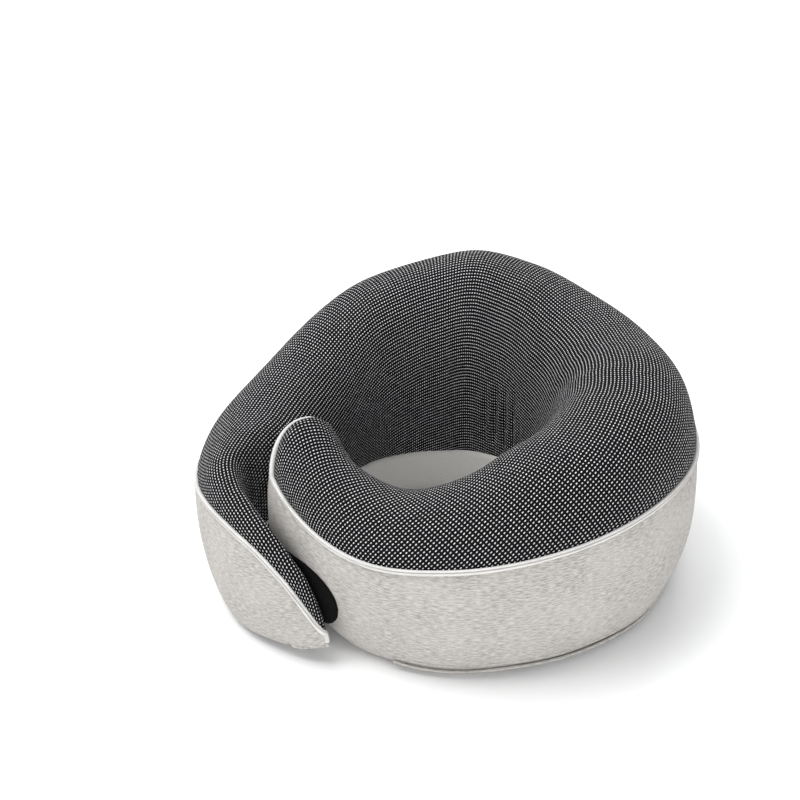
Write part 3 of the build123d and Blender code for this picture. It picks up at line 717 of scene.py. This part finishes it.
# ---- Piping ---------------------------------------------------------------------------
PIPING_RADIUS, PIPING_OUT = 1.5, -0.1
seam_lift = outward(*seam_path)
cord_line = seam_points + seam_lift * PIPING_OUT * MM
cut = KNIT_ROWS - 1 + split
piping_right = tube("piping_cord_right", cord_line[:cut + 1], PIPING_RADIUS, seam_lift[:cut + 1])
piping_left = tube("piping_cord_left", cord_line[cut:], PIPING_RADIUS, seam_lift[cut:])
dress(piping_right, "piping", "right_half", ("piping_right", "piping_end"))
dress(piping_left, "piping", None, ("piping_left",))


# ---- Hook and loop patches -------------------------------------------------------------
PATCH_THICK, PATCH_OFF = 1.1, 1.3


def patch(name, angles, bottom, top, low_t, high_t, off):
    """Thin patch that follows a wall: straight sides, and a half-round tongue at its last angle."""
    share = np.linspace(0, 1, 61)
    half = np.sqrt(np.clip(1 - (np.clip(share - 0.6, 0, 1) / 0.4) ** 2, 0.0, 1))
    angle = np.broadcast_to(angles[0] + (angles[1] - angles[0]) * share, (31, 61))
    across = np.linspace(-1, 1, 31)[:, None]
    height = (bottom + top) / 2 + (top - bottom) / 2 * half * across
    t = at_height(angle, height, low_t, high_t)
    points = clothed((angle, t)) + outward(angle, t) * off * MM
    uv = arc_uv(points)
    turned = (angles[1] > angles[0]) == (high_t > 2)
    return cloth_piece(name, [(points, uv, turned)], PATCH_THICK)


loop_patch = patch("loop_pile_patch", (-152.0, -118.5), 12.0, 52.0, 0, 2, PATCH_OFF)
hook_patch = patch("hook_tape_patch", (211.0, 226.0), 9.0, 45.0, 2, 4, PATCH_OFF)
dress(loop_patch, "loop_pile", "right_half", ("loop_patch",))
dress(hook_patch, "hook_tape", "left_half", ("hook_patch",))


# ---- Zip ---------------------------------------------------------------------------------
def lip(name, edge_t, way, proud):
    """Rolled cloth edge along the zip: a round cord that follows the jersey's cut edge."""
    inside = (top_angles > ZIP_ANGLES[0] - 1) & (top_angles < ZIP_ANGLES[1] + 1)
    angle, t = top_angles[inside], edge_t[inside]
    out = outward(angle, t)
    points = clothed((angle, t)) + out * proud * MM
    points[:, 2] += way * LIP_RISE * MM
    return tube(name, points, LIP_RADIUS, out, sides=12)


lip_upper = lip("rolled_lip_upper", high_edge, 1, 0.3)
lip_lower = lip("rolled_lip_lower", low_edge, -1, 1.0)
dress(lip_upper, "jersey", "right_half", ("zip_lip_upper",))
dress(lip_lower, "jersey", "right_half", ("zip_lip_lower",))
for name, slot in (("zip_tape_upper", "zip_tape"), ("zip_tape_lower", "zip_tape"), ("zip_coil_upper", "zip_coil"),
                   ("zip_coil_lower", "zip_coil"), ("zip_stop_front", "zip_metal"), ("zip_stop_back", "zip_metal"),
                   ("zip_slider", "zip_metal"), ("zip_pull", "zip_metal")):
    for material_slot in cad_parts[name].material_slots:
        material_slot.material = MATERIALS[slot]

# ---- Floor, light and camera ----------------------------------------------------------------
profile = np.linspace(0, 1, 40)
reach = np.concatenate([np.linspace(-1.6, 1.0, 14), 1.0 + 0.6 * np.sin(profile * pi / 2), np.full(6, 1.6)])
rise = np.concatenate([np.zeros(14), 0.6 * (1 - np.cos(profile * pi / 2)), np.linspace(0.6, 2.2, 6)])
across = np.linspace(-2.4, 2.4, 25)
sweep = np.stack([np.broadcast_to(across[None], (len(reach), 25)), np.broadcast_to(reach[:, None], (len(reach), 25)),
                  np.broadcast_to(rise[:, None], (len(reach), 25))], -1)
floor = add_mesh("studio_sweep", sweep.reshape(-1, 3), grid_faces(len(reach), 25).tolist())
floor_material, tree, shader = finish_material("studio_paper", specular=0.3)
paper = noise(tree, node(tree, "ShaderNodeTexCoord").outputs["Object"], 3.0, 2.0)
tree.links.new(mixed(tree, paper, (0.955, 0.96, 0.965, 1), (0.975, 0.975, 0.975, 1)), shader.inputs["Base Color"])
tree.links.new(ranged(tree, paper, 0.2, 0.8, 0.5, 0.6), shader.inputs["Roughness"])
floor.data.materials.append(floor_material)


def area_light(name, spot, aim, size, power):
    """Square soft light at a spot, turned to face a point."""
    data = bpy.data.lights.new(name, "AREA")
    data.size, data.energy = size, power
    lamp = bpy.data.objects.new(name, data)
    lamp.location = spot
    lamp.rotation_euler = (Vector(aim) - Vector(spot)).to_track_quat("-Z", "Y").to_euler()
    bpy.context.scene.collection.objects.link(lamp)


area_light("key", (-0.75, 0.1, 1.55), (0, 0, 0.05), 1.2, 25.0)
area_light("fill", (-0.2, -1.9, 0.5), (0, 0, 0.05), 1.2, 16.0)
area_light("rim", (0.2, 1.3, 1.3), (0, 0, 0.1), 1.0, 9.0)
area_light("side", (1.7, -0.9, 0.6), (0, 0, 0.05), 1.0, 8.0)
world = bpy.data.worlds.new("studio")
world.use_nodes = True
world.node_tree.nodes["Background"].inputs[0].default_value = (0.97, 0.985, 1.0, 1)
world.node_tree.nodes["Background"].inputs[1].default_value = 0.46
bpy.context.scene.world = world
bpy.context.scene.view_settings.view_transform = "Standard"

camera_data = bpy.data.cameras.new("camera")
camera_data.lens, camera_data.sensor_width = 65.8, 36
camera_data.shift_x, camera_data.shift_y = -0.05625, 0.09875
camera = bpy.data.objects.new("camera", camera_data)
aim = Vector((0, SHIFT[1], 0.05))
tilt, distance = radians(31), 0.85
camera.location = aim + distance * Vector((0, -cos(tilt), sin(tilt)))
camera.rotation_euler = (aim - camera.location).to_track_quat("-Z", "Y").to_euler()
bpy.context.scene.collection.objects.link(camera)
bpy.context.scene.camera = camera

bpy.context.view_layer.update()
